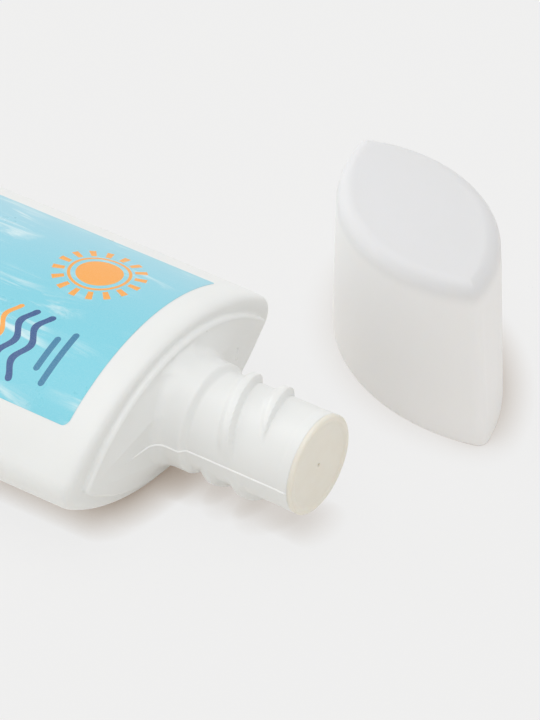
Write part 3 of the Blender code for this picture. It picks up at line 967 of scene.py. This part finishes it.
# The print: places are in metres on the upright bottle, x across and z from the base
printLook = {
    "water": (124, 207, 223),
    "paleWater": (154, 210, 226),
    "wisp": (214, 236, 240),
    "warm": (247, 168, 72),
    "navy": (38, 82, 138),
    "teal": (44, 122, 160),
    "sideFade": (-0.012, 0.026, 0.75),  # from x, to x, how much paler
    "baseFade": (0.100, 0.050, 0.45),   # from z, to z, how much paler
    "wispTurn": 33,
    "wispStretch": 0.16,
    "wispScale": 250,
    "wispDetail": 5,
    "wispRough": 0.62,
    "wispWarp": 0.9,
    "wispBand": (0.50, 0.68),
    "patchScale": 46,
    "patchBand": (0.38, 0.56),
    "wispShare": 0.90,
    "sun": (0.0105, 0.0960, 0.0098),    # x, z and reach of its rays
    "sunDisc": 0.50,
    "sunRing": (0.64, 0.035),
    "sunRays": (0.87, 0.13),
    "rayCount": 16,
    "rayThinness": 0.35,
    "waveRise": 0.0009,
    "waveLength": 0.0082,
    # Each wave or bar: the x and z of its middle, half its length and half its thickness
    "warmWaves": [(-0.0145, 0.0886, 0.0075, 0.0006)],
    "navyWaves": [(-0.0145, 0.0962, 0.0075, 0.0008), (-0.0145, 0.0924, 0.0075, 0.0008)],
    "tealBars": [(-0.0145, 0.1040, 0.0060, 0.0007), (-0.0145, 0.1012, 0.0036, 0.0007),
                 (0, 0.0620, 0.0150, 0.0007), (0, 0.0585, 0.0105, 0.0007),
                 (0, 0.0370, 0.0130, 0.0006), (0, 0.0335, 0.0090, 0.0006),
                 (0, 0.0300, 0.0110, 0.0006)],
    "toothScale": 5200,
    "toothBand": (0.35, 0.65),
    "toothShare": 0.06,
    "waveScale": 70,
    "grainScale": 4200,
    "grainShare": 0.15,
    "smoothest": 0.26,
    "roughest": 0.34,
    "bumpDepth": 0.00003,
    "bumpStrength": 0.12,
}


def squared(tree, value):
    return calc(tree, "MULTIPLY", value, value)


def barMask(tree, x, z, bar):
    # A bar with round ends, lying across the bottle
    middleX, middleZ, halfLength, radius = bar
    aside = calc(tree, "ABSOLUTE", calc(tree, "SUBTRACT", x, middleX))
    past = calc(tree, "MAXIMUM", calc(tree, "SUBTRACT", aside, halfLength), 0)
    along = calc(tree, "SUBTRACT", z, middleZ)
    square = calc(tree, "ADD", squared(tree, past), squared(tree, along))
    return calc(tree, "LESS_THAN", calc(tree, "SQRT", square), radius)


def sunMask(tree, x, z, look):
    # A disc, a ring round it and a crown of short rays
    middleX, middleZ, size = look["sun"]
    aside = calc(tree, "SUBTRACT", x, middleX)
    along = calc(tree, "SUBTRACT", z, middleZ)
    square = calc(tree, "ADD", squared(tree, aside), squared(tree, along))
    reach = calc(tree, "DIVIDE", calc(tree, "SQRT", square), size)
    disc = calc(tree, "LESS_THAN", reach, look["sunDisc"])
    ring = calc(tree, "COMPARE", reach, *look["sunRing"])
    angle = calc(tree, "ARCTAN2", along, aside)
    rayTurn = calc(tree, "COSINE", calc(tree, "MULTIPLY", angle, look["rayCount"]))
    rays = calc(tree, "MULTIPLY", calc(tree, "GREATER_THAN", rayTurn, look["rayThinness"]),
                calc(tree, "COMPARE", reach, *look["sunRays"]))
    return calc(tree, "MAXIMUM", calc(tree, "MAXIMUM", disc, ring), rays)


def anyOf(tree, masks):
    total = masks[0]
    for mask in masks[1:]:
        total = calc(tree, "MAXIMUM", total, mask)
    return total


def printMaterial(skinGroup):
    look = printLook
    material, tree, shader, where = newMaterial("Printed film")
    place = axes(tree, where)
    x = calc(tree, "SUBTRACT", place["Y"], insertMiddle.y)
    z = calc(tree, "SUBTRACT", place["X"], bodyLow.x)

    # Water: paler towards one side and the base, with thin slanting wisps
    lowSide, highSide, sideShare = look["sideFade"]
    lowBase, highBase, baseShare = look["baseFade"]
    pale = calc(tree, "ADD", remap(tree, x, lowSide, highSide, 0, sideShare, smooth=True),
                remap(tree, z, lowBase, highBase, 0, baseShare, smooth=True), clamp=True)
    water = mixColour(tree, pale, screenColour(*look["water"]), screenColour(*look["paleWater"]))
    turnWisps = addNode(tree, "ShaderNodeMapping")
    feed(tree, turnWisps.inputs["Vector"], where)
    turnWisps.inputs["Rotation"].default_value = (0, 0, math.radians(look["wispTurn"]))
    turnWisps.inputs["Scale"].default_value = (look["wispStretch"], 1, 1)
    wisps = noise(tree, turnWisps.outputs["Vector"], look["wispScale"], look["wispDetail"],
                  look["wispRough"], look["wispWarp"])
    patches = noise(tree, where, look["patchScale"], detail=2)
    thin = remap(tree, wisps, *look["wispBand"], 0, 1, smooth=True)
    patch = remap(tree, patches, *look["patchBand"], 0, look["wispShare"], smooth=True)
    streaks = calc(tree, "MULTIPLY", thin, patch)
    ground = mixColour(tree, streaks, water, screenColour(*look["wisp"]))

    # Motifs: a sun, short waves and bars
    swing = calc(tree, "SINE", calc(tree, "MULTIPLY", x, fullTurn / look["waveLength"]))
    waved = calc(tree, "SUBTRACT", z, calc(tree, "MULTIPLY", swing, look["waveRise"]))
    warm = anyOf(tree, [sunMask(tree, x, z, look)]
                 + [barMask(tree, x, waved, bar) for bar in look["warmWaves"]])
    navy = anyOf(tree, [barMask(tree, x, waved, bar) for bar in look["navyWaves"]])
    teal = anyOf(tree, [barMask(tree, x, z, bar) for bar in look["tealBars"]])
    colour = mixColour(tree, warm, ground, screenColour(*look["warm"]))
    colour = mixColour(tree, navy, colour, screenColour(*look["navy"]))
    colour = mixColour(tree, teal, colour, screenColour(*look["teal"]))

    # Fine tooth of the print
    grain = noise(tree, where, look["toothScale"], detail=1)
    tooth = remap(tree, grain, *look["toothBand"], 0, look["toothShare"])
    feed(tree, shader.inputs["Base Color"], mixColour(tree, tooth, colour, (1, 1, 1, 1)))
    addSkin(tree, shader, where, look, skinGroup)
    return material


# Studio
studio = {
    "floorColour": (239, 239, 239),
    "floorSize": 6.0,
    "shadowReach": 0.0074,             # how far round the object its painted soft shadow shows
    "shadowSamples": 16,
    "shadowTint": (0.58, 0.70, 0.82),  # weakest in red, so the painted shadow is warm
    "litSide": 0.25,                   # share of the painted shadow left on the lit side of the cap
    "litBands": (-0.027, -0.022, -0.010, 0.012),  # across the cap: where that side fades in and out
    "paperGlow": 0.92,                 # share of the seen paper that glows at its colour as written, darkened by the painted shadow
    "paperTone": (242, 239, 234),      # what the paper throws back at the object
    "skyAbove": 0.43,
    "skyAtHorizon": 0.90,
    "lamps": {                         # level, spread in degrees and where the light comes from
        "sideLamp": (0.29, 60, (-0.94, 0.0, 0.34)),
        "topLamp": (0.36, 60, (0.0, 0.0, 1.0)),
    },
}


def seenDirectly(tree):
    path = addNode(tree, "ShaderNodeLightPath").outputs
    mirrored = calc(tree, "MAXIMUM", path["Is Glossy Ray"], path["Is Transmission Ray"])
    return calc(tree, "MAXIMUM", path["Is Camera Ray"], mirrored)


def acrossCap(tree, where):
    # Distance from the cap's middle line, with the bottle's side negative
    place, turn = axes(tree, where), math.radians(capTurn)
    fromX = calc(tree, "SUBTRACT", place["X"], linerMiddle.x)
    fromY = calc(tree, "SUBTRACT", place["Y"], linerMiddle.y)
    return calc(tree, "ADD", calc(tree, "MULTIPLY", fromX, -math.sin(turn)),
                calc(tree, "MULTIPLY", fromY, math.cos(turn)))


def paperMaterial():
    # Where it is seen, the paper mostly glows at its own colour, with a painted shadow darkening it
    # close round the object
    material, tree, shader, where = newMaterial("Pale paper")
    shader.inputs["Base Color"].default_value = screenColour(*studio["paperTone"])
    shader.inputs["Roughness"].default_value = 1
    shader.inputs["Specular IOR Level"].default_value = 0
    near = addNode(tree, "ShaderNodeAmbientOcclusion", samples=studio["shadowSamples"])
    near.inputs["Distance"].default_value = studio["shadowReach"]
    across = acrossCap(tree, where)
    bottleEnd, litStart, litEnd, shadeStart = studio["litBands"]
    besideBottle = remap(tree, across, bottleEnd, litStart, 1, studio["litSide"], smooth=True)
    behindCap = remap(tree, across, litEnd, shadeStart, studio["litSide"], 1, smooth=True)
    strength = calc(tree, "MAXIMUM", besideBottle, behindCap)
    # Painted shadow: the paper's glow darkens where the object closes it in, fainter on the cap's
    # lit side
    tint = addNode(tree, "ShaderNodeCombineColor")
    paper = screenColour(*studio["floorColour"])
    for socket, share, level in zip(tint.inputs, studio["shadowTint"], paper):
        shade = calc(tree, "POWER", near.outputs["AO"], calc(tree, "MULTIPLY", strength, share))
        feed(tree, socket, calc(tree, "MULTIPLY", shade, level))
    glow = addNode(tree, "ShaderNodeEmission")
    feed(tree, glow.inputs["Color"], tint.outputs[0])
    mix = addNode(tree, "ShaderNodeMixShader")
    feed(tree, mix.inputs[0], calc(tree, "MULTIPLY", seenDirectly(tree), studio["paperGlow"]))
    feed(tree, mix.inputs[1], shader.outputs[0])
    feed(tree, mix.inputs[2], glow.outputs[0])
    feed(tree, tree.nodes["Material Output"].inputs["Surface"], mix.outputs[0])
    return material


def makeFloor():
    edit = bmesh.new()
    bmesh.ops.create_grid(edit, x_segments=1, y_segments=1, size=studio["floorSize"] / 2)
    mesh = bpy.data.meshes.new("studioFloor")
    edit.to_mesh(mesh)
    edit.free()
    floor = bpy.data.objects.new("studioFloor", mesh)
    floor.location.z = cadBox[0].z
    bpy.context.scene.collection.objects.link(floor)
    mesh.materials.append(paperMaterial())


def makeSky():
    world = bpy.data.worlds.new("Soft studio")
    bpy.context.scene.world = world
    world.use_nodes = True
    tree = world.node_tree
    tree.nodes.clear()
    direction = axes(tree, addNode(tree, "ShaderNodeTexCoord").outputs["Generated"])
    light = addNode(tree, "ShaderNodeBackground")
    light.inputs["Color"].default_value = (1, 1, 1, 1)
    level = remap(tree, direction["Z"], 0, 1, studio["skyAtHorizon"], studio["skyAbove"])
    feed(tree, light.inputs["Strength"], level)
    shown = addNode(tree, "ShaderNodeBackground")
    shown.inputs["Color"].default_value = screenColour(*studio["floorColour"])
    mix = addNode(tree, "ShaderNodeMixShader")
    feed(tree, mix.inputs[0], seenDirectly(tree))
    feed(tree, mix.inputs[1], light.outputs[0])
    feed(tree, mix.inputs[2], shown.outputs[0])
    feed(tree, addNode(tree, "ShaderNodeOutputWorld").inputs["Surface"], mix.outputs[0])


def makeLamps():
    for name, (strength, spread, source) in studio["lamps"].items():
        lamp = bpy.data.lights.new(name, "SUN")
        lamp.energy = math.pi * strength
        lamp.angle = math.radians(spread)
        holder = bpy.data.objects.new(name, lamp)
        holder.rotation_euler = Vector(source).to_track_quat("Z", "Y").to_euler()
        bpy.context.scene.collection.objects.link(holder)


# Camera, fitted to the photograph
cameraView = {
    "turn": 34.71,
    "tilt": 40.39,
    "roll": -1.48,
    "distance": 0.73684,
    "behindMouth": 0.037042,
    "besideAxis": 0.037059,
    "imageWidth": 540,
    "focalPixels": 3500,
    "sensor": 36,
}


def makeCamera():
    turn, tilt = math.radians(cameraView["turn"]), math.radians(cameraView["tilt"])
    right = Vector((math.cos(turn), math.sin(turn), 0))
    level = math.cos(tilt)
    ahead = Vector((-math.sin(turn) * level, math.cos(turn) * level, -math.sin(tilt)))
    up = right.cross(ahead)
    aim = Matrix((right, up, -ahead)).transposed()
    aim = aim @ Matrix.Rotation(math.radians(cameraView["roll"]), 3, "Z")
    target = Vector((insertHigh.x - cameraView["behindMouth"],
                     insertMiddle.y + cameraView["besideAxis"], cadBox[0].z))
    data = bpy.data.cameras.new("photoCamera")
    data.sensor_fit = "HORIZONTAL"
    data.sensor_width = cameraView["sensor"]
    data.lens = cameraView["sensor"] * cameraView["focalPixels"] / cameraView["imageWidth"]
    camera = bpy.data.objects.new("photoCamera", data)
    camera.matrix_world = Matrix.Translation(target - ahead * cameraView["distance"]) @ aim.to_4x4()
    bpy.context.scene.collection.objects.link(camera)
    bpy.context.scene.camera = camera


skin = mouldedSkinGroup()
mottle = paleMottleGroup()
makeBottle(plasticMaterial("White bottle plastic", plasticLooks["bottle"], skin, mottle))
makeInsert(plasticMaterial("Natural insert plastic", plasticLooks["insert"], skin, mottle))
makeLabel(printMaterial(skin))
makeCap(plasticMaterial("Frosted cap plastic", plasticLooks["cap"], skin, mottle))
makeSeal(plasticMaterial("Sealing foam", plasticLooks["seal"], skin, mottle))
makeFloor()
makeSky()
makeLamps()
makeCamera()
bpy.context.scene.view_settings.view_transform = "Standard"
print("studio and camera ready")
